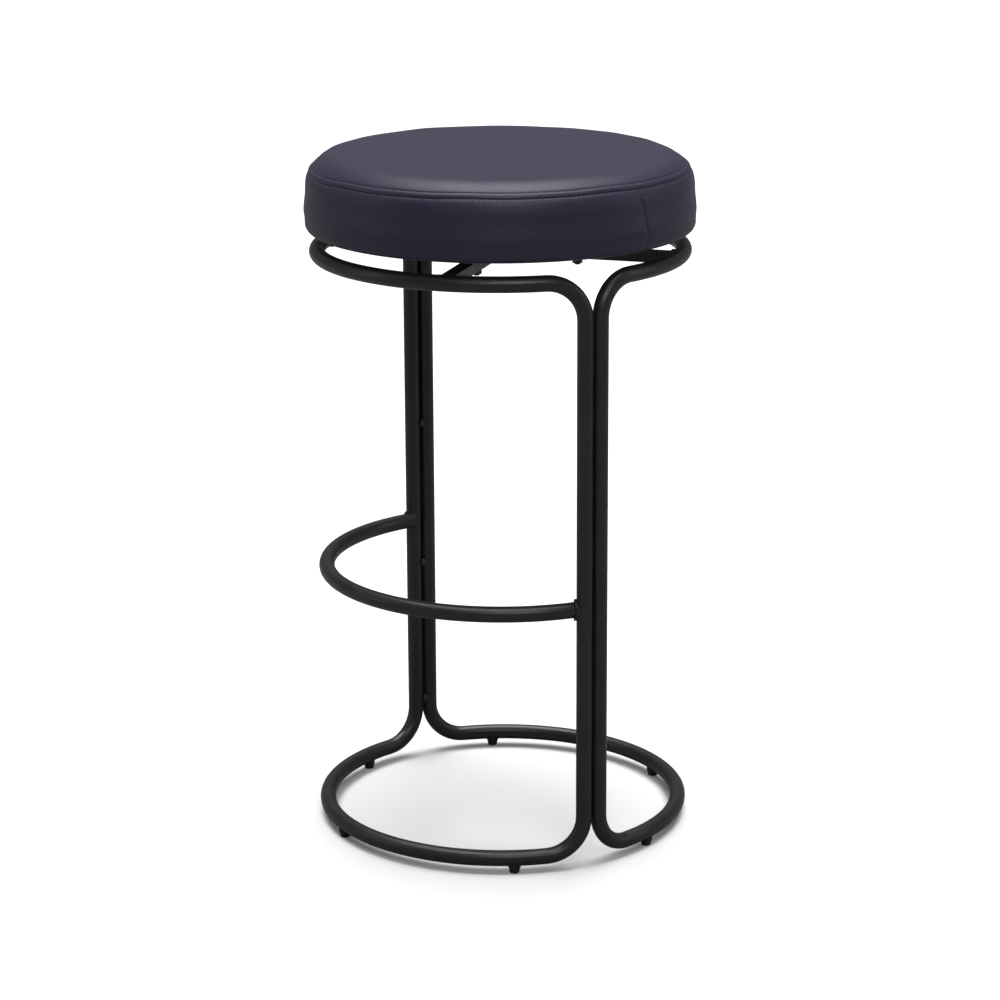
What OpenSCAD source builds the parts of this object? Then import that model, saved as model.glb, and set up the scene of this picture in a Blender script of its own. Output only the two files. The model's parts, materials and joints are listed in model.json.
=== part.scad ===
// Bar stool: two bent-tube loops welded side by side, a curved footrest and a round padded swivel seat.
// Millimetres. +Z is up, the origin is on the floor under the seat's axis, and the footrest is at -Y.

/* [Frame] */
// Radius of the centreline of the upper and lower rings
ring_r = 206; // [170:1:250]
// Height from the lower ring's centreline to the upper ring's
frame_h = 652; // [540:1:790]
// Centreline radius of the bend from a leg into a ring
bend_r = 43; // [34:1:60]
// Outside diameter of the tube
tube_d = 18; // [15:0.1:22]
// Wall of the tube
tube_wall = 1.5; // [1.2:0.1:2.5]
// Gap between the two legs of a pair
leg_gap = 0.6; // [0.4:0.1:3]

/* [Footrest] */
// Height of the footrest's centreline above the floor
footrest_z = 301.5; // [240:1:380]
// How much smaller the footrest's arc is than the rings
footrest_inset = 2.3; // [0:0.1:6]
// How far behind the stool's axis the footrest's arc is centred
footrest_back = 1.9; // [0:0.1:6]

/* [Brace] */
// Width of the brace bars
bar_w = 16; // [14:0.5:25]
// Height of the brace bars
bar_h = 12; // [8:0.1:16]

/* [Swivel] */
// Height of the swivel, from the brace to the seat's underside
swivel_h = 17; // [14:0.1:24]
// Side of the square swivel plates
plate_w = 150; // [145:1:170]
// Sheet thickness of the swivel plates
plate_t = 2.5; // [2:0.1:3]
// Distance between bolt holes along a plate's side
hole_pitch = 127; // [104:1:127]
// Diameter of the bearing balls
ball_d = 8; // [6:0.1:10]
// Number of bearing balls
ball_count = 16; // [8:1:20]
// Radius of the ring of balls
race_r = 46; // [38:1:48]

/* [Seat] */
// Radius of the seat
seat_r = 219; // [180:1:265]
// Height of the seat, from its underside to the top of its crown
seat_h = 87; // [70:1:110]
// Radius of the rounded top edge
shoulder_r = 20; // [14:1:26]
// Height of the crown above the rounded edge
crown_rise = 4; // [2:0.5:10]
// Radius of the rounded bottom edge
bottom_r = 9; // [6:0.5:14]
// Thickness of the plywood board
board_t = 15; // [12:1:20]
// Thickness of the covering material
cover_t = 1.2; // [1:0.1:2]
// How far the seat is turned from straight, in degrees
seat_turn = 18; // [-180:1:180]

/* [Feet] */
// Height of the feet below the lower ring
foot_h = 8; // [6:0.5:14]
// Diameter of a foot where it meets its collar
foot_top_d = 13; // [11:0.5:15]
// Diameter of a foot at the floor
foot_tip_d = 10.8; // [8:0.1:12]
// Angle from the leg pairs' line to the outer feet, in degrees
foot_angle = 24.5; // [22:0.5:40]

/* [Welds] */
// Beads joining each pair of legs
bead_count = 4; // [2:1:6]
// Length of a bead between two legs
bead_len = 11; // [8:1:20]
// Radius of a bead between two legs
bead_r = 3.8; // [3:0.1:5]
// Leg of the fillet round a welded end
fillet = 3; // [2:0.5:4]

/* [Fasteners] */
// Thread diameter of the swivel bolts
bolt_d = 6; // [5:0.5:6]
// Thread diameter of the seat screws
screw_d = 4.5; // [4:0.5:5]
// Number of staples under the seat
staple_count = 28; // [12:1:40]

/* [Clearances] */
// Radial clearance of the swivel's centre rivet
pivot_clear = 0.06; // [0.02:0.01:0.1]
// Clearance between the balls and their race
ball_clear = 0.12; // [0.08:0.01:0.2]
// Radial clearance of bolts, screws and stems in their holes
hole_clear = 0.3; // [0.15:0.05:0.5]
// Gap between the cover and what it wraps
wrap_clear = 0.1; // [0.05:0.05:0.3]

/* [Hidden] */
$fn = 96;
far = 2000;
over = 1; // how far a cutting shape runs past what it cuts
eps = 0.01;

// Frame: each loop's legs stand leg_y from the X axis, and bend towards the ring at bend_lean
tube_r = tube_d / 2;
leg_y = (tube_d + leg_gap) / 2;
bend_lean = asin(leg_y / norm([ring_r, bend_r])) + atan2(bend_r, ring_r);
leg_x = ring_r * cos(bend_lean) + bend_r * sin(bend_lean);
low_z = foot_h + tube_r;
high_z = low_z + frame_h;
mid_z = (low_z + high_z) / 2;
leg_h = frame_h - 2 * bend_r;

// Beads between the legs: each sinks bead_sink into both, and the end beads keep clear of the bends
bead_sink = 1.4;
bead_x = leg_x - sqrt(pow(tube_r + bead_r - bead_sink, 2) - leg_y * leg_y);
bead_low = low_z + bend_r + 11;
bead_high = high_z - bend_r - 30;

// Footrest: the arc stops footrest_stop short of the legs' axes
footrest_r = ring_r - footrest_inset;
footrest_stop = 4;
footrest_end = asin((footrest_back + leg_y + footrest_stop) / footrest_r);

// Brace
bar_top = high_z + bar_h / 2;
bar_bottom = high_z - bar_h / 2;
bar_reach = ring_r - sqrt(tube_r * tube_r - bar_h * bar_h / 4) + over;
bar_angle = -45;
corner_bead_r = fillet * 0.8;

// Swivel: two dished plates face each other across the balls
swivel_z = bar_top + swivel_h / 2;
dish_gap = ball_d / 2;
dish_wall = plate_t * 0.8; // drawing the dish thins its sides
dish_r = race_r + ball_d + plate_t;
dish_draft = 3;
plate_corner = 12;
hole_r = bolt_d / 2 + hole_clear;
screw_hole_r = screw_d / 2 + hole_clear;
dish_z = swivel_z - dish_gap / 2;
cage_t = 1.5;
cage_margin = 3;
rivet_r = 8;
rivet_wall = 2;
rivet_flange = 4;
rivet_flange_t = 1.6;
rivet_float = 0.3;

// Fasteners, in the usual proportions to their threads
bolt_head_r = bolt_d * 0.85;
bolt_head_h = bolt_d * 0.65;
washer_r = bolt_d;
washer_t = bolt_d * 0.2;
nut_r = bolt_d * 0.96;
nut_h = bolt_d * 0.83;
bolt_stick_out = 1.6;
screw_head_r = screw_d * 0.95;
screw_head_h = screw_d * 0.6;
screw_bite = 11;

// Seat
seat_z = bar_top + swivel_h;
seat_top = seat_z + seat_h;
dust_t = 0.6;
dust_inset = 12; // from the side band's tucked edge to the dust cover's
tuck_w = 22;
dust_r = seat_r - bottom_r - dust_inset;
tuck_r = seat_r - bottom_r - tuck_w;
shoulder_z = seat_top - crown_rise - shoulder_r;
shoulder_x = seat_r - shoulder_r;
crown_r = (pow(shoulder_x, 2) + pow(crown_rise + shoulder_r, 2) - pow(shoulder_r, 2)) / (2 * crown_rise);
crown_lean = asin(shoulder_x / (crown_r - shoulder_r));
seam_angle = 26;
seam_gap_angle = 0.3;
allowance_t = 1;
allowance_angle = 30;
allowance_margin = 2;
skin = cover_t + wrap_clear;
board_z = seat_z + dust_t + skin;
pad_z = board_z + board_t;

// Feet
stem_r = 3;
stem_tip_r = 2.4;
stem_rise = 4.5;
collar_edge = 0.5;
collar_r = foot_top_d / 2 + collar_edge;
collar_t = 1.4;
collar_rise = tube_r - sqrt(pow(tube_r, 2) - pow(collar_r, 2));
glide_edge = 0.8;
foot_angles = [foot_angle, 90];
stem_catch = 0.3; // how far the lip overhangs its hole
lip_r = stem_r + hole_clear + stem_catch;
lip_z = low_z - sqrt(pow(tube_r - tube_wall, 2) - pow(lip_r, 2)) + wrap_clear;

// Staples
staple_crown = 10;
staple_wire = 0.8;
staple_bite = 6;
staple_inset = 5;
staple_r = dust_r - staple_inset;

metal = "#2c2c2e";
zinc = "#3a3a3d";
black = "#19191a";
leatherette = "#3d3c4c";

// ---------- Shared shapes ----------

module tube_section() {
    difference() {
        circle(r = tube_r);
        circle(r = tube_r - tube_wall);
    }
}

// A ring of round bar about the Z axis, at a height
module torus(path_r, r, z) {
    translate([0, 0, z]) rotate_extrude() translate([path_r, 0]) circle(r = r);
}

// Both ends of a loop: its children at +X, and their mirror image at -X
module both_sides() {
    children();
    mirror([1, 0, 0]) children();
}

// Its children at the four corners of a square bolt pattern
module at_holes() {
    for (x = [-1, 1], y = [-1, 1]) translate([x, y, 0] * hole_pitch / 2) children();
}

// Points of an arc, from angle a to angle b
function arc(x, z, r, a, b, n = 12) =
    [for (i = [0 : n]) [x + r * cos(a + (b - a) * i / n), z + r * sin(a + (b - a) * i / n)]];

// ---------- Frame ----------

module bend() {
    rotate([90, 0, 90]) rotate_extrude(angle = 90) translate([bend_r, 0]) tube_section();
}

// Half of the front loop, at +X and centred on its own middle height: a leg, its two bends and a quarter
// of each ring. The holes for the feet's stems run up from hole_base, through the wall of one ring.
module loop_half(hole_base) {
    difference() {
        union() {
            rotate([0, 0, -bend_lean]) {
                translate([ring_r, bend_r, -leg_h / 2]) linear_extrude(leg_h) tube_section();
                translate([ring_r, 0, leg_h / 2]) bend();
                translate([ring_r, 0, -leg_h / 2]) mirror([0, 0, 1]) bend();
            }
            intersection() {
                rotate([0, 0, -bend_lean]) for (z = [-frame_h / 2, frame_h / 2]) translate([0, 0, z])
                    mirror([0, 1, 0]) rotate_extrude(angle = 90) translate([ring_r, 0]) tube_section();
                translate([0, -far, -far / 2]) cube(far);
            }
        }
        for (a = foot_angles) rotate([0, 0, -a]) translate([ring_r, 0, hole_base])
            cylinder(r = stem_r + hole_clear, h = low_z);
    }
}

// The front loop: one half at +X, and the same half turned over at -X
module loop_tube() {
    translate([0, 0, mid_z]) {
        loop_half(-mid_z);
        rotate([0, 180, 0]) loop_half(frame_h / 2);
    }
}

module front_loop_tube() {
    color(metal) loop_tube();
}

module rear_loop_tube() {
    color(metal) mirror([0, 1, 0]) loop_tube();
}

module leg_pair_rods(r) {
    for (y = [-leg_y, leg_y]) translate([leg_x, y, 0]) cylinder(r = r, h = high_z);
}

module leg_weld_beads() {
    pitch = (bead_high - bead_low) / (bead_count - 1);
    color(metal) both_sides() difference() {
        for (i = [0 : bead_count - 1]) translate([bead_x, 0, bead_low + i * pitch]) {
            cylinder(r = bead_r, h = bead_len - 2 * bead_r, center = true);
            for (s = [-1, 1]) translate([0, 0, s * (bead_len / 2 - bead_r)]) sphere(r = bead_r);
        }
        leg_pair_rods(tube_r);
    }
}

// The footrest's arc as a round rod, or with tube_section() as its child, as the tube itself
module footrest_arc() {
    translate([0, footrest_back, footrest_z]) rotate([0, 0, 180 + footrest_end])
        rotate_extrude(angle = 180 - 2 * footrest_end) translate([footrest_r, 0]) children();
}

module footrest_tube() {
    color(metal) difference() {
        footrest_arc() tube_section();
        both_sides() leg_pair_rods(tube_r);
    }
}

module footrest_weld_beads() {
    color(metal) both_sides() difference() {
        intersection() {
            footrest_arc() circle(r = tube_r + fillet);
            translate([leg_x, -leg_y, 0]) cylinder(r = tube_r + fillet, h = high_z);
            translate([0, -far / 2, 0]) cube([far, far, far]);
        }
        footrest_arc() circle(r = tube_r);
        leg_pair_rods(tube_r);
    }
}

// ---------- Brace ----------

// One arm of the brace along +X, from start to the ring, cut to fit round the ring's tube
module brace_arm(start) {
    difference() {
        translate([start, -bar_w / 2, bar_bottom]) cube([bar_reach - start, bar_w, bar_h]);
        torus(ring_r, tube_r, high_z);
        translate([hole_pitch / sqrt(2), 0, bar_bottom - over]) cylinder(r = hole_r, h = bar_h + 2 * over);
    }
}

module brace_bar_whole() {
    color(metal) rotate([0, 0, bar_angle]) for (a = [0, 180]) rotate([0, 0, a]) brace_arm(0);
}

module brace_bar_half_left() {
    color(metal) rotate([0, 0, bar_angle - 90]) brace_arm(bar_w / 2);
}

module brace_bar_half_right() {
    color(metal) rotate([0, 0, bar_angle + 90]) brace_arm(bar_w / 2);
}

module brace_weld_beads() {
    // round each arm's end
    color(metal) for (a = [0 : 90 : 270]) rotate([0, 0, bar_angle + a]) difference() {
        intersection() {
            translate([0, -bar_w / 2 - fillet / 2, bar_bottom - fillet / 2])
                cube([ring_r, bar_w + fillet, bar_h + fillet]);
            torus(ring_r, tube_r + fillet, high_z);
        }
        torus(ring_r, tube_r, high_z);
        translate([0, -bar_w / 2, bar_bottom]) cube([ring_r, bar_w, bar_h]);
    }
    // in the four corners where the bars cross
    color(metal) for (a = [0 : 90 : 270]) rotate([0, 0, bar_angle + a]) difference() {
        translate([bar_w / 2, bar_w / 2, bar_bottom + over])
            cylinder(r = corner_bead_r, h = bar_h - 2 * over);
        translate([-far / 2, -bar_w / 2, 0]) cube([far, bar_w, far]);
        translate([-bar_w / 2, -far / 2, 0]) cube([bar_w, far, far]);
    }
}

// ---------- Feet ----------

module at_feet() {
    for (a = concat(foot_angles, [180 - foot_angle])) for (s = [-1, 1]) rotate([0, 0, s * a])
        translate([ring_r, 0, 0]) children();
}

// A tapered glide with a rounded tip, and a stem with a lip that snaps inside the tube
module foot_glides() {
    shoulder = foot_h - collar_t;
    color(black) at_feet() {
        rotate_extrude() polygon([
            [0, 0],
            [foot_tip_d / 2 - glide_edge, 0],
            [foot_tip_d / 2, glide_edge],
            [foot_top_d / 2, shoulder],
            [stem_r, shoulder],
            [stem_r, lip_z],
            [lip_r, lip_z],
            [stem_tip_r, lip_z + stem_rise],
            [0, lip_z + stem_rise]
        ]);
    }
}

module foot_collars() {
    color(black) difference() {
        at_feet() difference() {
            translate([0, 0, foot_h - collar_t]) cylinder(r = collar_r, h = collar_t + collar_rise);
            cylinder(r = stem_r + hole_clear, h = low_z);
        }
        torus(ring_r, tube_r, low_z);
    }
}

// ---------- Swivel ----------

module plate_outline() {
    inner = plate_w / 2 - plate_corner;
    square([plate_w, 2 * inner], center = true);
    square([2 * inner, plate_w], center = true);
    for (x = [-inner, inner], y = [-inner, inner]) translate([x, y]) circle(r = plate_corner);
}

// The lower plate: a flat rim on the brace, and a raised dish with the ball race in its top.
// fastener_r is the radius of its corner holes, and pivot_r that of its centre hole.
module swivel_plate(fastener_r, pivot_r) {
    rim_r = dish_r + dish_draft;
    difference() {
        union() {
            difference() {
                translate([0, 0, bar_top]) linear_extrude(plate_t) plate_outline();
                translate([0, 0, bar_top - over]) {
                    cylinder(r = rim_r - dish_wall, h = plate_t + 2 * over);
                    at_holes() cylinder(r = fastener_r, h = plate_t + 2 * over);
                }
            }
            rotate_extrude() polygon([
                [pivot_r, dish_z - plate_t],
                [pivot_r, dish_z],
                [dish_r, dish_z],
                [rim_r, bar_top + plate_t],
                [rim_r, bar_top],
                [rim_r - dish_wall, bar_top],
                [dish_r - dish_wall, dish_z - plate_t]
            ]);
            intersection() {
                torus(race_r, ball_d / 2 + ball_clear + dish_wall, swivel_z);
                translate([0, 0, bar_top]) cylinder(r = dish_r - dish_wall, h = dish_z - over - bar_top);
            }
        }
        torus(race_r, ball_d / 2 + ball_clear, swivel_z);
    }
}

module swivel_lower_plate() {
    color(zinc) swivel_plate(hole_r, rivet_r + pivot_clear);
}

module swivel_upper_plate() {
    color(zinc) rotate([0, 0, seat_turn]) translate([0, 0, 2 * swivel_z]) mirror([0, 0, 1])
        swivel_plate(screw_hole_r, rivet_r + pivot_clear);
}

// A hollow rivet, flanged under the lower dish and, with a little float, over the upper one
module swivel_pivot_rivet() {
    low = dish_z - plate_t;
    high = 2 * swivel_z - low + rivet_float;
    color(zinc) rotate_extrude() polygon([
        [rivet_r - rivet_wall, low - rivet_flange_t],
        [rivet_r + rivet_flange, low - rivet_flange_t],
        [rivet_r + rivet_flange, low],
        [rivet_r, low],
        [rivet_r, high],
        [rivet_r + rivet_flange, high],
        [rivet_r + rivet_flange, high + rivet_flange_t],
        [rivet_r - rivet_wall, high + rivet_flange_t]
    ]);
}

module at_balls() {
    for (i = [0 : ball_count - 1]) rotate([0, 0, i * 360 / ball_count]) translate([race_r, 0, swivel_z])
        children();
}

module swivel_balls() {
    color("silver") at_balls() sphere(r = ball_d / 2);
}

module swivel_ball_cage() {
    width = ball_d + 2 * cage_margin;
    color("#c9b37a") difference() {
        translate([0, 0, swivel_z - cage_t / 2]) difference() {
            cylinder(r = race_r + width / 2, h = cage_t);
            translate([0, 0, -over]) cylinder(r = race_r - width / 2, h = cage_t + 2 * over);
        }
        at_balls() cylinder(r = ball_d / 2 + ball_clear, h = 2 * cage_t, center = true);
    }
}

module swivel_bolts() {
    tip = bar_bottom - washer_t - nut_h - bolt_stick_out;
    color(zinc) at_holes() {
        translate([0, 0, tip]) cylinder(d = bolt_d, h = bar_top + plate_t - tip);
        translate([0, 0, bar_top + plate_t]) cylinder(r = bolt_head_r, h = bolt_head_h, $fn = 6);
    }
}

module swivel_washers() {
    color(zinc) at_holes() translate([0, 0, bar_bottom - washer_t]) difference() {
        cylinder(r = washer_r, h = washer_t);
        translate([0, 0, -over]) cylinder(r = hole_r, h = washer_t + 2 * over);
    }
}

module swivel_nuts() {
    color(zinc) at_holes() translate([0, 0, bar_bottom - washer_t - nut_h]) difference() {
        cylinder(r = nut_r, h = nut_h, $fn = 6);
        translate([0, 0, -over]) cylinder(r = bolt_d / 2 + eps, h = nut_h + 2 * over);
    }
}

module seat_screws() {
    color(zinc) rotate([0, 0, seat_turn]) at_holes() {
        translate([0, 0, seat_z - plate_t])
            cylinder(d = screw_d, h = plate_t + board_z - seat_z + screw_bite);
        translate([0, 0, seat_z - plate_t - screw_head_h]) cylinder(r = screw_head_r, h = screw_head_h);
    }
}

// ---------- Seat ----------

// The seat's side outline, moved inwards by inset, from its top down to its bottom edge
function crown_points(inset, a, b) = arc(0, seat_top - crown_r, crown_r - inset, a, b, 16);
function shoulder_points(inset, a, b) = arc(shoulder_x, shoulder_z, shoulder_r - inset, a, b, 14);
function bottom_points(inset, a, b) =
    arc(seat_r - bottom_r, seat_z + dust_t + bottom_r, bottom_r - inset, a, b, 8);

// A closed shell between the outer skin and the skin thickness inside it, along a list of outline points
module revolved_shell(outer, inner) {
    rotate_extrude() polygon(concat(outer, [for (i = [len(inner) - 1 : -1 : 0]) inner[i]]));
}

module seat_board() {
    color("burlywood") difference() {
        rotate_extrude() polygon(concat(
            [[0, board_z]],
            bottom_points(skin, -90, 0),
            [[seat_r - skin, pad_z], [0, pad_z]]
        ));
        rotate([0, 0, seat_turn]) at_holes() translate([0, 0, board_z - over])
            cylinder(d = screw_d + 2 * eps, h = screw_bite + 2 * over);
    }
}

module seat_foam() {
    color("khaki") difference() {
        rotate_extrude() polygon(concat(
            [[0, pad_z], [seat_r - skin, pad_z]],
            shoulder_points(skin, 0, 90 - crown_lean),
            crown_points(skin, 90 - crown_lean, 90)
        ));
        allowance_strip(skin - wrap_clear, skin + allowance_t + 2 * wrap_clear, allowance_margin);
    }
}

// The strip behind the top seam, between two depths and widened by some degrees each way
module allowance_strip(near, deep, wider) {
    low = seam_angle - wider;
    high = seam_angle + allowance_angle + wider;
    revolved_shell(shoulder_points(near, low, high), shoulder_points(deep, low, high));
}

module seam_allowance() {
    color(leatherette) allowance_strip(skin, skin + allowance_t, 0);
}

module cover_top_panel() {
    low = seam_angle + seam_gap_angle;
    color(leatherette) revolved_shell(
        concat(shoulder_points(0, low, 90 - crown_lean), crown_points(0, 90 - crown_lean, 90)),
        concat(shoulder_points(cover_t, low, 90 - crown_lean), crown_points(cover_t, 90 - crown_lean, 90))
    );
}

module cover_side_band() {
    color(leatherette) revolved_shell(
        concat(
            [[tuck_r, seat_z + dust_t]],
            bottom_points(0, -90, 0),
            shoulder_points(0, 0, seam_angle - seam_gap_angle)
        ),
        concat(
            [[tuck_r, seat_z + dust_t + cover_t]],
            bottom_points(cover_t, -90, 0),
            shoulder_points(cover_t, 0, seam_angle - seam_gap_angle)
        )
    );
}

module dust_cover() {
    color(black) difference() {
        translate([0, 0, seat_z]) cylinder(r = dust_r, h = dust_t);
        rotate([0, 0, seat_turn]) at_holes() translate([0, 0, seat_z - over])
            cylinder(r = screw_hole_r, h = dust_t + 2 * over);
    }
}

module seat_staples() {
    color("silver") for (i = [0 : staple_count - 1])
        rotate([0, 0, seat_turn + (i + 0.5) * 360 / staple_count])
        translate([staple_r, -staple_crown / 2, seat_z - staple_wire]) {
            cube([staple_wire, staple_crown, staple_wire]);
            for (y = [0, staple_crown - staple_wire]) translate([0, y, 0])
                cube([staple_wire, staple_wire, staple_bite + staple_wire]);
        }
}

front_loop_tube();
rear_loop_tube();
footrest_tube();
leg_weld_beads();
footrest_weld_beads();
brace_bar_whole();
brace_bar_half_left();
brace_bar_half_right();
brace_weld_beads();
foot_glides();
foot_collars();
swivel_lower_plate();
swivel_pivot_rivet();
swivel_bolts();
swivel_washers();
swivel_nuts();
swivel_ball_cage();
swivel_balls();
swivel_upper_plate();
seat_screws();
seat_board();
seat_foam();
cover_top_panel();
cover_side_band();
seam_allowance();
dust_cover();
seat_staples();
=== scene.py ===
"""The looks of a bar stool: two powder-coated tube loops, a footrest and a padded leatherette swivel seat.

Metres, in the CAD frame: +Z up, the origin on the floor under the seat's axis, the footrest at -Y.
Directions round the seat are plan angles, from +X towards +Y.
"""
import json
import math

import bpy
import numpy as np
from mathutils import Matrix, Vector, noise
from mathutils.bvhtree import BVHTree


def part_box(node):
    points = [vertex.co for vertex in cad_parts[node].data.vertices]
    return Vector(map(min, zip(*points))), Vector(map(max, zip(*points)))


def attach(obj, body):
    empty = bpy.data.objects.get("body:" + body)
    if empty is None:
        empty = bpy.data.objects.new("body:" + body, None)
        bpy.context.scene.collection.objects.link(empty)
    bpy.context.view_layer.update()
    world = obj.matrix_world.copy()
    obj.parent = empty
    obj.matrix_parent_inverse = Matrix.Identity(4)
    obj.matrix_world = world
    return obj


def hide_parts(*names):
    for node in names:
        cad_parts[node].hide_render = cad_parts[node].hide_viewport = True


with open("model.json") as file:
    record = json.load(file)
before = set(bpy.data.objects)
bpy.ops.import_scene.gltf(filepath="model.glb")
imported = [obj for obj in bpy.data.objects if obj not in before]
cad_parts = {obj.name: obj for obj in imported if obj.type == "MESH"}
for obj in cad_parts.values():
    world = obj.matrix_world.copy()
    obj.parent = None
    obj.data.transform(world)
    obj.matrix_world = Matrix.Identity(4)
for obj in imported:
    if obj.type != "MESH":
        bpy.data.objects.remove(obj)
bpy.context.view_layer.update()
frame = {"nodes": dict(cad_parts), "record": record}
MM = 0.001

# ---------- The seat's sizes ----------

band_low, band_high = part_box("cover_side_band")
foam_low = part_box("seat_foam")[0].z
dust_low, dust_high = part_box("dust_cover")
plate_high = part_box("swivel_upper_plate")[1]

SEAT_R = band_high.x
SEAT_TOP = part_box("cover_top_panel")[1].z + 2 * MM
SEAT_LOW = band_low.z
COVER_T = 1.2 * MM
SHOULDER_R = 39 * MM
CROWN_RISE = 1.8 * MM
BOTTOM_R = 9 * MM
TUCK_W = 22 * MM

SHOULDER_X = SEAT_R - SHOULDER_R
SHOULDER_Z = SEAT_TOP - CROWN_RISE - SHOULDER_R
CROWN_R = (SHOULDER_X ** 2 + (CROWN_RISE + SHOULDER_R) ** 2 - SHOULDER_R ** 2) / (2 * CROWN_RISE)
CROWN_LEAN = math.asin(SHOULDER_X / (CROWN_R - SHOULDER_R))
BOTTOM_Z = SEAT_LOW + BOTTOM_R

# Lengths along the outline, from the middle of the top, over the shoulder, down the side and under
U_SHOULDER = CROWN_R * CROWN_LEAN
U_WALL = U_SHOULDER + SHOULDER_R * (math.pi / 2 - CROWN_LEAN)
U_BOTTOM = U_WALL + SHOULDER_Z - BOTTOM_Z
U_TUCK = U_BOTTOM + BOTTOM_R * math.pi / 2
U_END = U_TUCK + TUCK_W

# The top seam. It isn't level: it wanders by a few millimetres, along a curve whose turn is measured from
# SEAM_FROM and whose dip there is SEAM_DIP millimetres deep.
SEAM_ANGLE = math.radians(37)
SEAM_FROM = math.radians(-28)
SEAM_DIP = 5.0
SEAM_DIP_WIDE = math.radians(55)
STITCHES = 218
WELT_W = 7.2 * MM
WELT_H = 0.95 * MM
VALLEY_DEPTH = 0.45 * MM
VALLEY_W = 0.8 * MM
PULL_DEPTH = 0.7 * MM
PULL_W = 2.2 * MM

# The thread. A stitch covers this share of its pitch, and ends a little lower on the band than it starts.
THREAD_R = 0.6 * MM
STITCH_FROM = 0.22
STITCH_TO = 0.78
STITCH_HIGH = 0.2 * MM
STITCH_LOW = 1.9 * MM
STITCH_SUNK_HIGH = 0.35 * MM
STITCH_SUNK_LOW = 0.45 * MM

# The upright seam, where the side band's ends meet. It leans, and its foot is pulled in.
JOIN_AT = math.radians(16.4)
JOIN_LEAN = math.radians(2.9)
JOIN_HOOK = math.radians(1.5)
JOIN_STITCH = 5.5 * MM
JOIN_STITCH_SHARE = 0.7
JOIN_SUNK = 0.9 * MM
JOIN_GROOVE = 2.2 * MM

# The cover is pressed in no deeper than this, and less where the board backs it
RELIEF_DEEPEST = 2.6 * MM
RELIEF_BACKED = 1.0 * MM

# How far inside the cover's inner face the foam lies, so that no groove reaches it
FOAM_INSET = 2.8 * MM

# The pad is a little fuller, and so higher, on one side
FULL_SIDE_AT = math.radians(210)
FULL_SIDE = 1.5 * MM

# The cloth under the seat, held by a ring of staples
STAPLES = 28
STAPLES_AT = math.radians(18)
CLOTH_T = 0.3 * MM
CLOTH_LIFT = 0.25 * MM
CLOTH_SLACK = 0.9 * MM
CLOTH_PUCKER = 0.8 * MM


def outline(u):
    """Radius, height and outward normal of the seat's side outline, at length u along it"""
    u = np.asarray(u, float)
    crown = math.pi / 2 - u / CROWN_R
    shoulder = math.pi / 2 - CROWN_LEAN - (u - U_SHOULDER) / SHOULDER_R
    bottom = -(u - U_BOTTOM) / BOTTOM_R
    parts = [u < U_SHOULDER, u < U_WALL, u < U_BOTTOM, u < U_TUCK]
    angle = np.select(parts, [crown, shoulder, 0 * u, bottom], -math.pi / 2)
    rho = np.select(
        parts,
        [CROWN_R * np.cos(crown), SHOULDER_X + SHOULDER_R * np.cos(shoulder), SEAT_R + 0 * u,
         SEAT_R - BOTTOM_R + BOTTOM_R * np.cos(bottom)],
        SEAT_R - BOTTOM_R - (u - U_TUCK))
    z = np.select(
        parts,
        [SEAT_TOP - CROWN_R + CROWN_R * np.sin(crown), SHOULDER_Z + SHOULDER_R * np.sin(shoulder),
         SHOULDER_Z - (u - U_WALL), BOTTOM_Z + BOTTOM_R * np.sin(bottom)],
        SEAT_LOW)
    return rho, z, np.cos(angle), np.sin(angle)


def seam_u(theta):
    """Where the top seam runs, as a length along the outline"""
    turn = (theta - SEAM_FROM + math.pi) % (2 * math.pi) - math.pi
    level = -2.4 + 2.2 * np.cos(turn) + 2.0 * np.sin(turn) + 2.6 * np.cos(2 * turn)
    level = level - SEAM_DIP * hump(turn, SEAM_DIP_WIDE)
    wobble = 0.35 * np.sin(9 * theta + 1.0) + 0.25 * np.sin(17 * theta)
    return U_SHOULDER + SHOULDER_R * (math.pi / 2 - CROWN_LEAN - SEAM_ANGLE) - (level + wobble) * MM


def wave_noise(theta, u, size, seed):
    """Smooth noise round the seat, from -1 to 1, with features of about the given size"""
    rho, z, _, _ = outline(u)
    found = [
        noise.noise(Vector((r * math.cos(t), r * math.sin(t), h)) / size + Vector((seed, 0, 0)))
        for t, r, h in zip(theta.ravel(), rho.ravel(), z.ravel())
    ]
    return np.array(found).reshape(theta.shape)


def hump(x, width):
    """1 at 0, falling smoothly to nothing on both sides"""
    return np.exp(-(x / width) ** 2)


def step(x, low, high):
    """0 up to low, 1 from high on, and smooth between"""
    t = np.clip((x - low) / (high - low), 0, 1)
    return t * t * (3 - 2 * t)


# ---------- Meshes ----------

def mesh_object(name, points, faces):
    mesh = bpy.data.meshes.new(name)
    mesh.from_pydata([tuple(p) for p in points], [], [tuple(f) for f in faces])
    mesh.update()
    mesh.shade_smooth()
    piece = bpy.data.objects.new(name, mesh)
    bpy.context.scene.collection.objects.link(piece)
    return piece


def ring_faces(rows, columns, flip=False):
    """Quads of a grid whose rows are closed rings"""
    faces = []
    for i in range(rows - 1):
        for j in range(columns):
            k = (j + 1) % columns
            quad = (i * columns + j, (i + 1) * columns + j, (i + 1) * columns + k, i * columns + k)
            faces.append(quad[::-1] if flip else quad)
    return faces


def cap_faces(start, columns, centre, flip=False):
    """A fan that closes a ring, whose vertices begin at start, onto a centre vertex"""
    faces = [(centre, start + j, start + (j + 1) % columns) for j in range(columns)]
    return [f[::-1] for f in faces] if flip else faces


def thicken(piece, thickness):
    """Gives an open sheet its thickness, inwards"""
    shell = piece.modifiers.new("thickness", "SOLIDIFY")
    shell.thickness = thickness
    shell.offset = -1


# ---------- The cushion, by cloth simulation ----------

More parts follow.
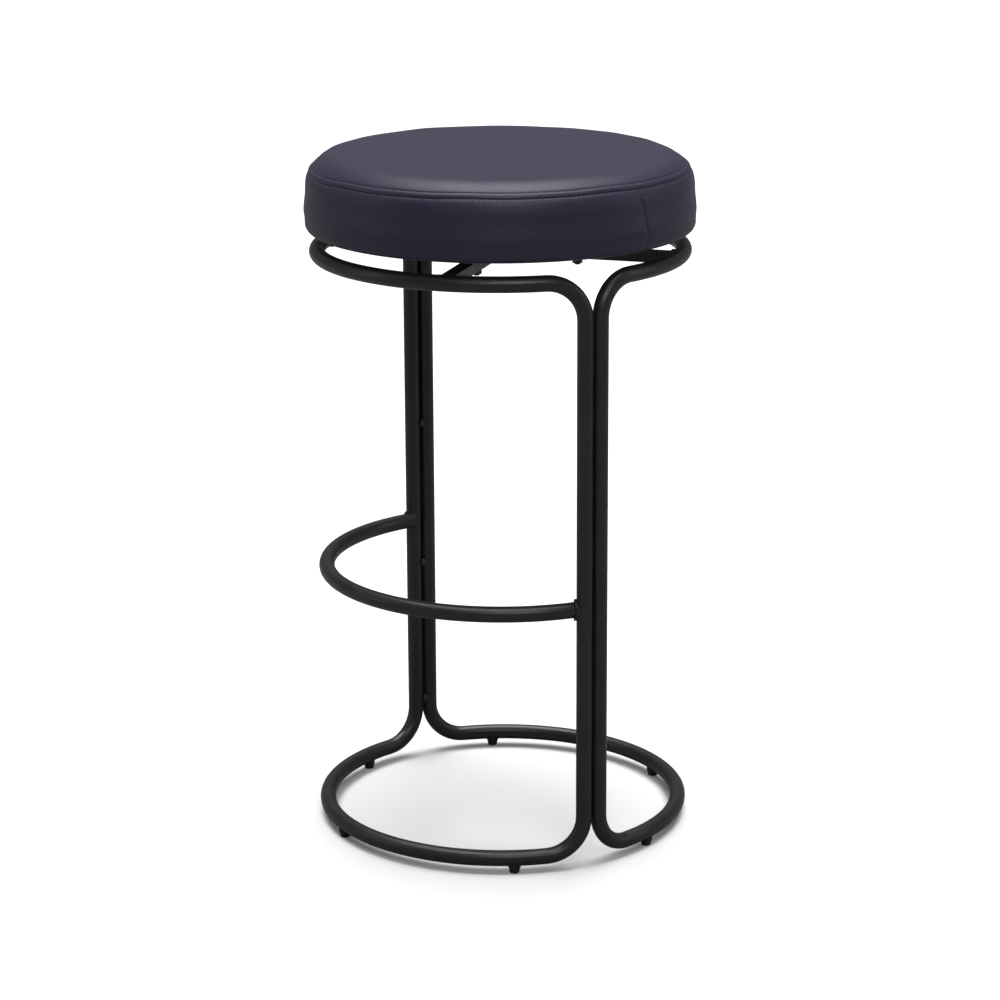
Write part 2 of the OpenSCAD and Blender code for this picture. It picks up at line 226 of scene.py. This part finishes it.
SIM_VOXEL = 5 * MM
SIM_INSET = 4 * MM
SIM_FRAMES = 20
SIM_CAP = 8 * MM
SIM_PULL = 1.2 * MM
SIM_UNEVEN = 1.6 * MM
WAVE_SIZE = 130 * MM
WAVE_SEED = 3.0


def filled_form():
    """The cushion before it is inflated: a little small, uneven, and pulled in along the seam"""
    columns = 180
    u = np.concatenate([np.linspace(6 * MM, U_SHOULDER, 26), np.linspace(U_SHOULDER, U_TUCK, 32)[1:]])
    theta, uu = np.meshgrid(np.linspace(0, 2 * math.pi, columns, endpoint=False), u)
    rho, z, nr, nz = outline(uu)
    depth = SIM_INSET - SIM_UNEVEN * wave_noise(theta, uu, WAVE_SIZE, WAVE_SEED)
    depth = depth + SIM_PULL * hump(uu - seam_u(theta), 5 * MM)
    rho, z = rho - nr * depth, z - nz * depth
    points = np.stack([rho * np.cos(theta), rho * np.sin(theta), z], -1).reshape(-1, 3)
    rows = len(u)
    top, bottom = len(points), len(points) + 1
    points = np.vstack([points, [0, 0, SEAT_TOP - SIM_INSET], [0, 0, SEAT_LOW + SIM_INSET]])
    faces = ring_faces(rows, columns)
    faces += cap_faces(0, columns, top)
    faces += cap_faces((rows - 1) * columns, columns, bottom, flip=True)
    return mesh_object("cushion_form", points, faces)


def along_outline(points):
    """The length along the outline that is nearest to each point"""
    u = np.linspace(0, U_END, 700)
    rho, z, _, _ = outline(u)
    radius = np.hypot(points[:, 0], points[:, 1])
    away = (radius[:, None] - rho) ** 2 + (points[:, 2][:, None] - z) ** 2
    return u[np.argmin(away, axis=1)]


def inflated_cushion():
    """A search tree of the cushion's surface after its cover is inflated against the pinned seams"""
    form = filled_form()
    bpy.context.view_layer.objects.active = form
    remesh = form.modifiers.new("remesh", "REMESH")
    remesh.mode = "VOXEL"
    remesh.voxel_size = SIM_VOXEL
    bpy.ops.object.modifier_apply(modifier=remesh.name)
    start = np.array([v.co for v in form.data.vertices])
    theta = np.arctan2(start[:, 1], start[:, 0])
    u = along_outline(start)
    pins = form.vertex_groups.new(name="pins")
    held = (np.abs(u - seam_u(theta)) < 3 * MM) | (u > U_BOTTOM)
    pins.add([int(i) for i in np.flatnonzero(held)], 1.0, "REPLACE")
    cloth = form.modifiers.new("cover", "CLOTH")
    settings = cloth.settings
    settings.quality = 5
    settings.mass = 0.3
    settings.tension_stiffness = settings.compression_stiffness = 15
    settings.shear_stiffness = 5
    settings.bending_stiffness = 0.5
    settings.use_pressure = True
    settings.uniform_pressure_force = 4
    settings.vertex_group_mass = pins.name
    settings.effector_weights.gravity = 0
    cloth.point_cache.frame_end = SIM_FRAMES
    scene = bpy.context.scene
    for f in range(1, SIM_FRAMES + 1):
        scene.frame_set(f)
    bpy.ops.object.modifier_apply(modifier=cloth.name)
    scene.frame_set(1)
    moved = np.array([v.co for v in form.data.vertices]) - start
    length = np.linalg.norm(moved, axis=1, keepdims=True)
    moved *= np.minimum(1, SIM_CAP / np.maximum(length, 1e-9))
    faces = [tuple(p.vertices) for p in form.data.polygons]
    tree = BVHTree.FromPolygons([Vector(p) for p in start + moved], faces)
    bpy.data.objects.remove(form)
    return tree


BULGE_COLUMNS = 160
BULGE_U = np.linspace(0, U_TUCK, 90)
BULGE_SMOOTHINGS = 8
BULGE_MOST = 2.5 * MM
BULGE_KEPT = 0.5


def sampled_bulge(tree):
    """How far the inflated cover stands from the plain outline, on a grid of heights and directions.
    What is the same all round is left out, because the outline has it already."""
    theta = np.linspace(0, 2 * math.pi, BULGE_COLUMNS, endpoint=False)
    found = np.zeros((len(BULGE_U), BULGE_COLUMNS))
    rho, z, nr, nz = outline(BULGE_U)
    reach = 15 * MM
    for i in range(len(BULGE_U)):
        for j, t in enumerate(theta):
            normal = Vector((nr[i] * math.cos(t), nr[i] * math.sin(t), nz[i]))
            point = Vector((rho[i] * math.cos(t), rho[i] * math.sin(t), z[i]))
            hit = tree.ray_cast(point + normal * reach, -normal, 2 * reach)
            found[i, j] = reach - hit[3] if hit[0] else -SIM_INSET
    for _ in range(BULGE_SMOOTHINGS):
        found = (np.roll(found, 1, 1) + 2 * found + np.roll(found, -1, 1)) / 4
        found[1:-1] = (found[:-2] + 2 * found[1:-1] + found[2:]) / 4
    return found - found.mean(axis=1, keepdims=True)


bulge = sampled_bulge(inflated_cushion())


def bulge_at(theta, u):
    """The bulge between its grid points, the band's barrel shape and the full side.
    The first two fade out where the board backs the cover."""
    x = (theta / (2 * math.pi) % 1) * BULGE_COLUMNS
    y = np.clip(u / U_TUCK, 0, 1) * (len(BULGE_U) - 1)
    j, i = np.floor(x).astype(int), np.minimum(np.floor(y).astype(int), len(BULGE_U) - 2)
    fx, fy = x - j, y - i
    k, j = (j + 1) % BULGE_COLUMNS, j % BULGE_COLUMNS
    value = (bulge[i, j] * (1 - fx) + bulge[i, k] * fx) * (1 - fy)
    value = value + (bulge[i + 1, j] * (1 - fx) + bulge[i + 1, k] * fx) * fy
    backed = step(u, U_BOTTOM - 16 * MM, U_BOTTOM - 4 * MM)
    side = (FULL_SIDE * np.cos(theta - FULL_SIDE_AT) - 0.4 * MM) * (1 - step(u, U_SHOULDER, U_WALL))
    side = side * step(u, 60 * MM, U_SHOULDER)
    barrel = 1.0 * MM * hump(u - U_BOTTOM + 15 * MM, 13 * MM) - 1.3 * MM * hump(u - U_WALL, 17 * MM)
    return (BULGE_KEPT * np.clip(value, -BULGE_MOST, BULGE_MOST) + barrel) * (1 - backed) + side


def seam_valley(d):
    """The furrow along the seam, at a distance d from it"""
    return -VALLEY_DEPTH * np.exp(-d / VALLEY_W)


def stitch_pull(theta, d):
    """How the stitches pull the cover in: most at each of them, and nothing halfway between two"""
    return -PULL_DEPTH * (0.5 + 0.5 * np.cos(STITCHES * theta)) * np.exp(-d / PULL_W)


def top_relief(theta, d):
    """Height over the outline of the top panel, d from the seam: a rolled welt and its crease, the seam's
    valley and pulls, and a notch over the upright join"""
    along = np.clip(d / WELT_W, 0, 1)
    strength = 1 + 0.18 * np.sin(5 * theta + 0.7) + 0.1 * np.sin(13 * theta)
    welt = WELT_H * strength * np.sin(math.pi * along) ** 0.6
    crease = -0.5 * MM * hump(d - WELT_W, 0.8 * MM)
    notch = -JOIN_GROOVE * hump((theta - JOIN_AT) * SEAT_R, 1.6 * MM) * hump(d - 2 * MM, 4 * MM)
    return welt + crease + seam_valley(d) + stitch_pull(theta, d) + notch


def join_lean(u):
    """How far the upright join leans from JOIN_AT, at a length along the outline. Its foot hooks back."""
    share = np.clip((u - U_WALL + 12 * MM) / (U_BOTTOM - U_WALL + 12 * MM), 0, 1)
    return JOIN_LEAN * share - JOIN_HOOK * step(u, U_BOTTOM - 12 * MM, U_BOTTOM + 4 * MM)


def band_relief(column, u, d):
    """Height over the outline of the side band, d below the seam.
    column is the direction before the join leans."""
    roll = 0.4 * MM * hump(d - 5 * MM, 4 * MM)
    x = (column - JOIN_AT) * SEAT_R
    upright = step(U_TUCK - u, 0, 6 * MM)
    dash = 0.75 + 0.25 * np.cos(2 * math.pi * u / JOIN_STITCH)
    groove = -JOIN_GROOVE * dash * hump(x, 1.0 * MM) - 0.4 * MM * np.exp(-np.abs(x) / (4 * MM))
    ruck = 0.9 * MM * hump(x + 7 * MM, 5 * MM) * hump(u - U_BOTTOM + 2 * MM, 8 * MM)
    relief = seam_valley(d) + roll + stitch_pull(column, d) + upright * (groove + ruck)
    backed = step(u, U_BOTTOM - 16 * MM, U_BOTTOM - 8 * MM)
    return np.maximum(relief, -RELIEF_DEEPEST + (RELIEF_DEEPEST - RELIEF_BACKED) * backed)


# ---------- The cover ----------

def columns_round():
    """Directions of the cover's columns: three to a stitch, and closer together at the upright join"""
    even = np.arange(3 * STITCHES) / (3 * STITCHES) * 2 * math.pi
    near = np.concatenate([np.arange(-2.4, 2.5, 0.3), np.arange(3, 10, 0.8), -np.arange(3, 10, 0.8)])
    near = (JOIN_AT + near * MM / SEAT_R) % (2 * math.pi)
    gap = 0.35 * MM / SEAT_R
    kept = [t for t in even if np.abs(near - t).min() > gap]
    return np.sort(np.concatenate([kept, near]))


COLUMNS = columns_round()

# Where the cover's rows are: how far a panel's edge turns in, and distances from the seam on each panel
LIP = np.array([0.4, 1.0, 1.8, 2.8, 4.0]) * MM
NEAR_TOP = np.array([12, 11, 10, 9.2, 8.6, 8.2, 7.8, 7.5, 7.2, 6.9, 6.5, 6.0, 5.3, 4.6, 3.8, 3.1, 2.5, 2.0,
                     1.5, 1.1, 0.8, 0.5, 0.25, 0]) * MM
NEAR_BAND = np.array([0, 0.25, 0.5, 0.8, 1.2, 1.8, 2.6, 3.6, 5, 7, 9.5, 12]) * MM


def cover_grid(u, column, relief):
    """Points of the cover at lengths u and columns, with its bulge and relief"""
    theta = column + join_lean(u) * hump(column - JOIN_AT, math.radians(12))
    rho, z, nr, nz = outline(u)
    out = bulge_at(theta, u) + relief
    rho, z = rho + nr * out, z + nz * out
    return np.stack([rho * np.cos(theta), rho * np.sin(theta), z], -1)


def seam_lip(edge, theta):
    """Rows that turn in from a panel's edge at the seam, towards the foam"""
    u = seam_u(theta)
    _, _, nr, nz = outline(u)
    normal = np.stack([nr * np.cos(theta), nr * np.sin(theta), nz], -1)
    return edge[None] - normal[None] * LIP[:, None, None]


def make_top_cover():
    seam = seam_u(COLUMNS)
    shares = np.linspace(0.03, 1, 27)[:-1]
    far = shares[:, None] * (seam - NEAR_TOP[0])[None]
    near = seam[None] - NEAR_TOP[:, None]
    u = np.vstack([far, near])
    column = np.broadcast_to(COLUMNS, u.shape)
    points = cover_grid(u, column, top_relief(column, seam[None] - u))
    points = np.concatenate([points, seam_lip(points[-1], COLUMNS)])
    rows, columns = points.shape[:2]
    flat = points.reshape(-1, 3)
    centre = [0, 0, points[0, :, 2].mean()]
    faces = ring_faces(rows, columns) + cap_faces(0, columns, len(flat))
    return mesh_object("seat_top_cover", np.vstack([flat, centre]), faces)


def make_side_cover():
    seam = seam_u(COLUMNS)
    shares = np.linspace(0, 1, 18)[1:]
    near = seam[None] + NEAR_BAND[:, None]
    wall = near[-1][None] + shares[:, None] * (U_BOTTOM - near[-1])[None]
    turn = np.linspace(U_BOTTOM, U_TUCK, 9)[1:]
    under = np.linspace(U_TUCK, U_END, 6)[1:]
    low = np.repeat(np.concatenate([turn, under])[:, None], len(COLUMNS), axis=1)
    u = np.vstack([near, wall, low])
    column = np.broadcast_to(COLUMNS, u.shape)
    points = cover_grid(u, column, band_relief(column, u, u - seam[None]))
    points = np.concatenate([seam_lip(points[0], COLUMNS)[::-1], points])
    rows, columns = points.shape[:2]
    return mesh_object("seat_side_cover", points.reshape(-1, 3), ring_faces(rows, columns))


def make_foam_pad():
    """The foam inside the cover, a little smaller than it everywhere"""
    columns = 180
    column = np.linspace(0, 2 * math.pi, columns, endpoint=False)
    u_low = U_WALL + SHOULDER_Z - foam_low
    u = np.concatenate([np.linspace(0.03, 1, 16)[:-1] * U_SHOULDER, np.linspace(U_SHOULDER, u_low, 22)])
    column, uu = np.meshgrid(column, u)
    inside = -(COVER_T + FOAM_INSET) - 0.8 * MM * hump(uu - seam_u(column), 4 * MM)
    points = cover_grid(uu, column, inside).reshape(-1, 3)
    rows = len(u)
    top, bottom = len(points), len(points) + 1
    centres = [[0, 0, points[:columns, 2].mean()], [0, 0, foam_low]]
    faces = ring_faces(rows, columns) + cap_faces(0, columns, top)
    faces += cap_faces((rows - 1) * columns, columns, bottom, flip=True)
    return mesh_object("seat_foam_pad", np.vstack([points, centres]), faces)


def capsule(start, end, radius, sides=6):
    """Points and faces of a short thread from start to end, with tapered ends"""
    axis = (end - start).normalized()
    side = axis.orthogonal().normalized()
    other = axis.cross(side)
    profile = [(0.0, 0.35), (0.12, 0.85), (0.5, 1.0), (0.88, 0.85), (1.0, 0.35)]
    points = []
    for share, width in profile:
        middle = start.lerp(end, share)
        for i in range(sides):
            a = 2 * math.pi * i / sides
            points.append(middle + (side * math.cos(a) + other * math.sin(a)) * radius * width)
    faces = ring_faces(len(profile), sides, flip=True)
    faces += [tuple(range(sides))[::-1], tuple(range((len(profile) - 1) * sides, len(profile) * sides))]
    return points, faces


def on_band(t, u, depth):
    """A point on the side band, sunk by depth"""
    t, u = np.array([t]), np.array([u])
    rho, z, nr, nz = (float(v[0]) for v in outline(u))
    out = float(bulge_at(t, u)[0]) - depth
    rho, z = rho + nr * out, z + nz * out
    return Vector((rho * math.cos(t[0]), rho * math.sin(t[0]), z))


def make_stitching():
    """The thread: a short slanted stitch for each hole of the top seam, and a row down the upright join"""
    points, faces = [], []
    pitch = 2 * math.pi / STITCHES
    threads = []
    for i in range(STITCHES):
        before, after = (i + STITCH_FROM) * pitch, (i + STITCH_TO) * pitch
        first = on_band(before, seam_u(before) + STITCH_HIGH, STITCH_SUNK_HIGH)
        threads.append((first, on_band(after, seam_u(after) + STITCH_LOW, STITCH_SUNK_LOW)))
    u = seam_u(JOIN_AT) + 3 * MM
    while u < U_BOTTOM - 2 * MM:
        lengths = (u, u + JOIN_STITCH_SHARE * JOIN_STITCH)
        threads.append([on_band(JOIN_AT + float(join_lean(v)), v, JOIN_SUNK) for v in lengths])
        u += JOIN_STITCH
    for start, end in threads:
        p, f = capsule(start, end, THREAD_R)
        faces += [tuple(len(points) + k for k in face) for face in f]
        points += p
    return mesh_object("seat_stitching", points, faces)


def make_dust_cover():
    """Thin black cloth stapled under the seat: it puckers between staples and lies slack further in"""
    columns = STAPLES * 8
    radius = dust_high.x
    inner = plate_high.xy.length
    r = np.concatenate([np.linspace(0.05, 0.9, 16), [0.93, 0.955, 0.975, 0.99, 1.0]]) * radius
    theta, rr = np.meshgrid(np.linspace(0, 2 * math.pi, columns, endpoint=False), r)
    between = 0.5 - 0.5 * np.cos(STAPLES * (theta - STAPLES_AT - math.pi / STAPLES))
    edge = step(rr, 0.82 * radius, 0.99 * radius)
    wave = wave_noise(theta, rr, 38 * MM, 8.0)
    slack = step(rr, inner, inner + 15 * MM) * (1 - edge)
    z = dust_low.z + CLOTH_LIFT + slack * CLOTH_SLACK * wave - edge * between * CLOTH_PUCKER
    points = np.stack([rr * np.cos(theta), rr * np.sin(theta), z], -1).reshape(-1, 3)
    rows = len(r)
    faces = ring_faces(rows, columns, flip=True) + cap_faces(0, columns, len(points), flip=True)
    points = np.vstack([points, [0, 0, dust_low.z + CLOTH_LIFT]])
    return mesh_object("seat_dust_cloth", points, faces)


# ---------- Materials ----------

class Shader:
    """A Principled material whose nodes read object coordinates, in metres"""

    def __init__(self, name, **sockets):
        self.material = bpy.data.materials.new(name)
        self.material.use_nodes = True
        self.tree = self.material.node_tree
        self.surface = self.tree.nodes["Principled BSDF"]
        self.coordinates = self.tree.nodes.new("ShaderNodeTexCoord").outputs["Object"]
        for socket, value in sockets.items():
            self.surface.inputs[socket.replace("_", " ")].default_value = value

    def node(self, kind, links=(), **values):
        made = self.tree.nodes.new("ShaderNode" + kind)
        for key, value in values.items():
            if hasattr(made, key):
                setattr(made, key, value)
            else:
                made.inputs[key.replace("_", " ")].default_value = value
        for socket, source in dict(links).items():
            self.tree.links.new(source, made.inputs[socket])
        return made

    def noise(self, scale, detail=3.0, stretch=(1, 1, 1), **values):
        place = self.node("Mapping", {"Vector": self.coordinates}, Scale=stretch)
        found = self.node("TexNoise", {"Vector": place.outputs[0]}, Scale=scale, Detail=detail, **values)
        return found.outputs["Fac"]

    def cells(self, scale, feature="F1", **values):
        found = self.node("TexVoronoi", {"Vector": self.coordinates}, feature=feature, Scale=scale, **values)
        return found.outputs["Distance"]

    def spread(self, source, low, high, start=0.35, end=0.65):
        """A value from low to high, as the source goes from start to end"""
        made = self.node("MapRange", {"Value": source})
        for socket, value in zip(("From Min", "From Max", "To Min", "To Max"), (start, end, low, high)):
            made.inputs[socket].default_value = value
        return made.outputs["Result"]

    def blend(self, source, first, second, start=0.35, end=0.65):
        """A colour from first to second, as the source goes from start to end"""
        ramp = self.node("ValToRGB", {"Fac": source})
        for stop, place, colour in zip(ramp.color_ramp.elements, (start, end), (first, second)):
            stop.position = place
            stop.color = (*colour, 1)
        return ramp.outputs["Color"]

    def darken(self, colour, source):
        """The colour times the source"""
        mixed = self.node("Mix", data_type="RGBA", blend_type="MULTIPLY")
        mixed.inputs[0].default_value = 1
        self.tree.links.new(colour, mixed.inputs[6])
        self.tree.links.new(source, mixed.inputs[7])
        return mixed.outputs[2]

    def set(self, socket, source):
        self.tree.links.new(source, self.surface.inputs[socket])

    def bump(self, *layers):
        """Stacks bumps, each a source and its height in metres"""
        normal = None
        for source, height in layers:
            links = {"Height": source}
            if normal:
                links["Normal"] = normal
            normal = self.node("Bump", links, Strength=1.0, Distance=height).outputs[0]
        self.set("Normal", normal)


def powder_coat():
    s = Shader("powder_coat", Specular_IOR_Level=0.45)
    s.set("Base Color", s.blend(s.noise(14, 4), (0.0090, 0.0090, 0.0100), (0.014, 0.014, 0.0155)))
    s.set("Roughness", s.spread(s.noise(60, 4), 0.33, 0.43))
    s.bump((s.noise(1100, 2), 0.045 * MM), (s.noise(240, 2), 0.035 * MM))
    return s.material


def weld_coat():
    """The same coat over a weld, whose ripples show through it"""
    s = Shader("weld_powder_coat", Specular_IOR_Level=0.5)
    s.set("Base Color", s.blend(s.noise(30, 4), (0.0105, 0.0105, 0.0115), (0.017, 0.017, 0.0185)))
    s.set("Roughness", s.spread(s.noise(90, 4), 0.36, 0.48))
    s.bump((s.noise(1100, 2), 0.05 * MM), (s.noise(420, 3, Distortion=0.6), 0.5 * MM))
    return s.material


def leatherette():
    s = Shader("leatherette", Specular_IOR_Level=0.3, Sheen_Weight=0.02, Sheen_Roughness=0.45)
    s.surface.inputs["Sheen Tint"].default_value = (0.75, 0.75, 1.0, 1)
    pebble = s.cells(820, "SMOOTH_F1", Smoothness=0.35, Randomness=1.0)
    creases = s.cells(820, "DISTANCE_TO_EDGE", Randomness=1.0)
    colour = s.blend(s.noise(11, 5), (0.0212, 0.0202, 0.0425), (0.0240, 0.0229, 0.0475), 0.3, 0.7)
    mottle = s.blend(s.noise(260, 4), (0.95, 0.95, 0.955), (1.03, 1.03, 1.025))
    # Painted shade: the colour is darkened in the grain's creases, as if shade lay in them
    crease_shade = s.blend(creases, (0.80, 0.80, 0.81), (1.0, 1.0, 1.0), 0.0, 0.14)
    s.set("Base Color", s.darken(s.darken(colour, mottle), crease_shade))
    s.set("Roughness", s.spread(s.noise(45, 5), 0.435, 0.465))
    s.bump((s.noise(75, 4), 0.06 * MM), (pebble, -0.12 * MM), (s.noise(2400, 2), 0.012 * MM))
    return s.material


def sewing_thread():
    s = Shader("sewing_thread", Roughness=0.6, Sheen_Weight=0.25)
    s.set("Base Color", s.blend(s.noise(900, 3), (0.006, 0.006, 0.010), (0.013, 0.013, 0.021)))
    s.bump((s.noise(2600, 2, stretch=(1, 1, 3)), 0.08 * MM))
    return s.material


def plated_steel(name, colour, rough, scratch):
    s = Shader(name, Metallic=1.0)
    dim = tuple(0.8 * c for c in colour)
    s.set("Base Color", s.blend(s.cells(160), dim, colour, 0.1, 0.6))
    s.set("Roughness", s.spread(s.noise(140, 5), rough - 0.06, rough + 0.08))
    s.bump((s.noise(700, 3, stretch=(1, 6, 1)), scratch))
    return s.material


def moulded(name, dark, light, rough, grain):
    s = Shader(name, Specular_IOR_Level=0.45)
    s.set("Base Color", s.blend(s.noise(120, 4), dark, light))
    s.set("Roughness", s.spread(s.noise(220, 4), rough - 0.06, rough + 0.08))
    s.bump((s.noise(1500, 2), grain))
    return s.material


def plywood():
    """Plies that lie flat, so their edges show as bands, and grain along them"""
    s = Shader("plywood", Roughness=0.65)
    height = s.node("SeparateXYZ", {"Vector": s.coordinates}).outputs["Z"]
    band = s.node("Math", {0: height}, operation="MULTIPLY")
    band.inputs[1].default_value = 2 * math.pi / (3 * MM)
    wave = s.node("Math", {0: band.outputs[0]}, operation="SINE").outputs[0]
    plies = s.blend(wave, (0.30, 0.19, 0.10), (0.52, 0.37, 0.22), 0.4, 0.6)
    grain = s.blend(s.noise(35, 6, stretch=(1, 14, 14)), (0.72, 0.70, 0.66), (1.05, 1.04, 1.0))
    s.set("Base Color", s.darken(plies, grain))
    s.bump((s.noise(60, 5, stretch=(1, 14, 14)), 0.15 * MM))
    return s.material


def foam():
    s = Shader("foam", Roughness=0.9)
    s.set("Base Color", s.blend(s.noise(40, 3), (0.62, 0.55, 0.36), (0.74, 0.67, 0.45)))
    s.bump((s.cells(900), 0.4 * MM))
    return s.material


def dust_cloth():
    """Bonded black fibre"""
    s = Shader("dust_cloth", Roughness=0.88, Sheen_Weight=0.2, Specular_IOR_Level=0.25)
    fibres = s.noise(520, 4, stretch=(1, 3, 1), Distortion=1.5)
    s.set("Base Color", s.blend(fibres, (0.006, 0.006, 0.007), (0.024, 0.024, 0.026)))
    s.bump((fibres, 0.25 * MM), (s.cells(480), 0.12 * MM))
    return s.material


MATERIALS = {
    "frame_powder_coat": powder_coat(),
    "zinc_steel": plated_steel("zinc_steel", (0.050, 0.050, 0.054), 0.38, 0.03 * MM),
    "staple_steel": plated_steel("staple_steel", (0.66, 0.66, 0.67), 0.28, 0.02 * MM),
    "bearing_steel": plated_steel("bearing_steel", (0.78, 0.78, 0.80), 0.14, 0.004 * MM),
    "cage_plastic": moulded("cage_plastic", (0.52, 0.43, 0.26), (0.62, 0.53, 0.34), 0.5, 0.02 * MM),
    "foot_plastic": moulded("foot_plastic", (0.009, 0.009, 0.010), (0.017, 0.017, 0.018), 0.45, 0.03 * MM),
    "collar_rubber": moulded("collar_rubber", (0.006, 0.006, 0.006), (0.012, 0.012, 0.012), 0.7, 0.05 * MM),
    "seat_leatherette": leatherette(),
    "plywood": plywood(),
    "foam": foam(),
    "dust_cloth": dust_cloth(),
}
WELDS = ("leg_weld_beads", "footrest_weld_beads", "brace_weld_beads")


def dress(piece, material):
    if not piece.data.materials:
        piece.data.materials.append(material)
    for held in piece.material_slots:
        held.material = material


def dress_cad_nodes():
    weld = weld_coat()
    for part in frame["record"]["subparts"]:
        piece = frame["nodes"][part["node"]]
        dress(piece, weld if part["node"] in WELDS else MATERIALS[part["material_slot"]])


def add_piece(piece, slot, replaced=(), material=None):
    """Puts a made piece on the seat, with its material, and hides the CAD nodes it stands for"""
    dress(piece, material or MATERIALS[slot])
    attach(piece, "seat")
    if replaced:
        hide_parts(*replaced)


# ---------- Floor, light and camera ----------

VIEW_FROM = math.radians(62.009)
VIEW_DISTANCE = 3.3397
VIEW_HEIGHT = 1.3123
AIM_RIGHT = -0.00178
AIM_HEIGHT = 0.3746
VIEW_ROLL = math.radians(-0.263)
LENS = 108.55

# How much of their brightness the world and the floor have as light, against what the camera sees
WORLD_LIGHT = 0.18
FLOOR_LIGHT = 0.24


def make_floor():
    """Nearly white to the eye, and darker to the light that falls on it"""
    size = 14.0
    corners = [(-size, -size, 0), (size, -size, 0), (size, size, 0), (-size, size, 0)]
    floor = mesh_object("studio_floor", corners, [(0, 1, 2, 3)])
    s = Shader("studio_floor", Roughness=0.85, Specular_IOR_Level=0.15)
    seen = s.node("LightPath").outputs["Is Camera Ray"]
    pale = s.blend(s.noise(0.8, 2), (0.83, 0.83, 0.83), (0.85, 0.85, 0.85))
    s.set("Base Color", s.darken(pale, s.blend(seen, (FLOOR_LIGHT,) * 3, (1, 1, 1), 0, 1)))
    dress(floor, s.material)


def area_light(name, place, aim, size, power):
    data = bpy.data.lights.new(name, "AREA")
    data.shape = "RECTANGLE"
    data.size, data.size_y = size
    data.energy = power
    lamp = bpy.data.objects.new(name, data)
    lamp.location = place
    lamp.rotation_mode = "QUATERNION"
    lamp.rotation_quaternion = (Vector(aim) - Vector(place)).to_track_quat("-Z", "Y")
    bpy.context.scene.collection.objects.link(lamp)


def make_sky_light():
    """One wide soft light from nearly straight above, as even over the floor as a studio's light tent"""
    data = bpy.data.lights.new("overhead", "SUN")
    data.energy = 4.4
    data.angle = math.radians(50)
    lamp = bpy.data.objects.new("overhead", data)
    lamp.rotation_euler = (math.radians(-9), 0, VIEW_FROM)
    bpy.context.scene.collection.objects.link(lamp)


def make_world():
    """White to the eye, and dimmer as a light"""
    world = bpy.data.worlds.new("studio")
    bpy.context.scene.world = world
    world.use_nodes = True
    tree = world.node_tree
    background = tree.nodes["Background"]
    background.inputs["Color"].default_value = (1, 1, 1, 1)
    path = tree.nodes.new("ShaderNodeLightPath")
    strength = tree.nodes.new("ShaderNodeMapRange")
    strength.inputs["To Min"].default_value = WORLD_LIGHT
    strength.inputs["To Max"].default_value = 1.0
    tree.links.new(path.outputs["Is Camera Ray"], strength.inputs["Value"])
    tree.links.new(strength.outputs["Result"], background.inputs["Strength"])


def beside_view(right, back, up):
    """A place given from the viewer's own directions: to the right, away from the viewer, and up"""
    c, s = math.cos(VIEW_FROM), math.sin(VIEW_FROM)
    return (right * c - back * s, right * s + back * c, up)


def make_camera():
    place = Vector(beside_view(0, -VIEW_DISTANCE, VIEW_HEIGHT))
    aim = Vector(beside_view(AIM_RIGHT, 0, AIM_HEIGHT))
    forward = (aim - place).normalized()
    right = forward.cross(Vector((0, 0, 1))).normalized()
    up = right.cross(forward)
    c, s = math.cos(VIEW_ROLL), math.sin(VIEW_ROLL)
    right, up = right * c + up * s, up * c - right * s
    data = bpy.data.cameras.new("camera")
    data.sensor_width = 36
    data.lens = LENS
    camera = bpy.data.objects.new("camera", data)
    camera.matrix_world = Matrix.Translation(place) @ Matrix((right, up, -forward)).transposed().to_4x4()
    bpy.context.scene.collection.objects.link(camera)
    bpy.context.scene.camera = camera


make_camera()
make_world()
make_floor()
make_sky_light()
area_light("left", beside_view(-2.7, -0.3, 1.5), beside_view(0, 0, 0.5), (0.5, 2.2), 5)
area_light("right", beside_view(2.7, -0.1, 1.5), beside_view(0, 0, 0.5), (0.7, 2.2), 7)
area_light("front", beside_view(0.3, -2.4, 2.4), beside_view(0, 0, 0.7), (1.4, 1.0), 26)
bpy.context.scene.view_settings.view_transform = "Standard"

dress_cad_nodes()
top_cover = make_top_cover()
side_cover = make_side_cover()
thicken(top_cover, COVER_T)
thicken(side_cover, COVER_T)
cloth = make_dust_cover()
thicken(cloth, CLOTH_T)
add_piece(top_cover, "seat_leatherette", ("cover_top_panel", "seam_allowance"))
add_piece(side_cover, "seat_leatherette", ("cover_side_band",))
add_piece(make_foam_pad(), "foam", ("seat_foam",))
add_piece(make_stitching(), "dust_cloth", material=sewing_thread())
add_piece(cloth, "dust_cloth", ("dust_cover",))
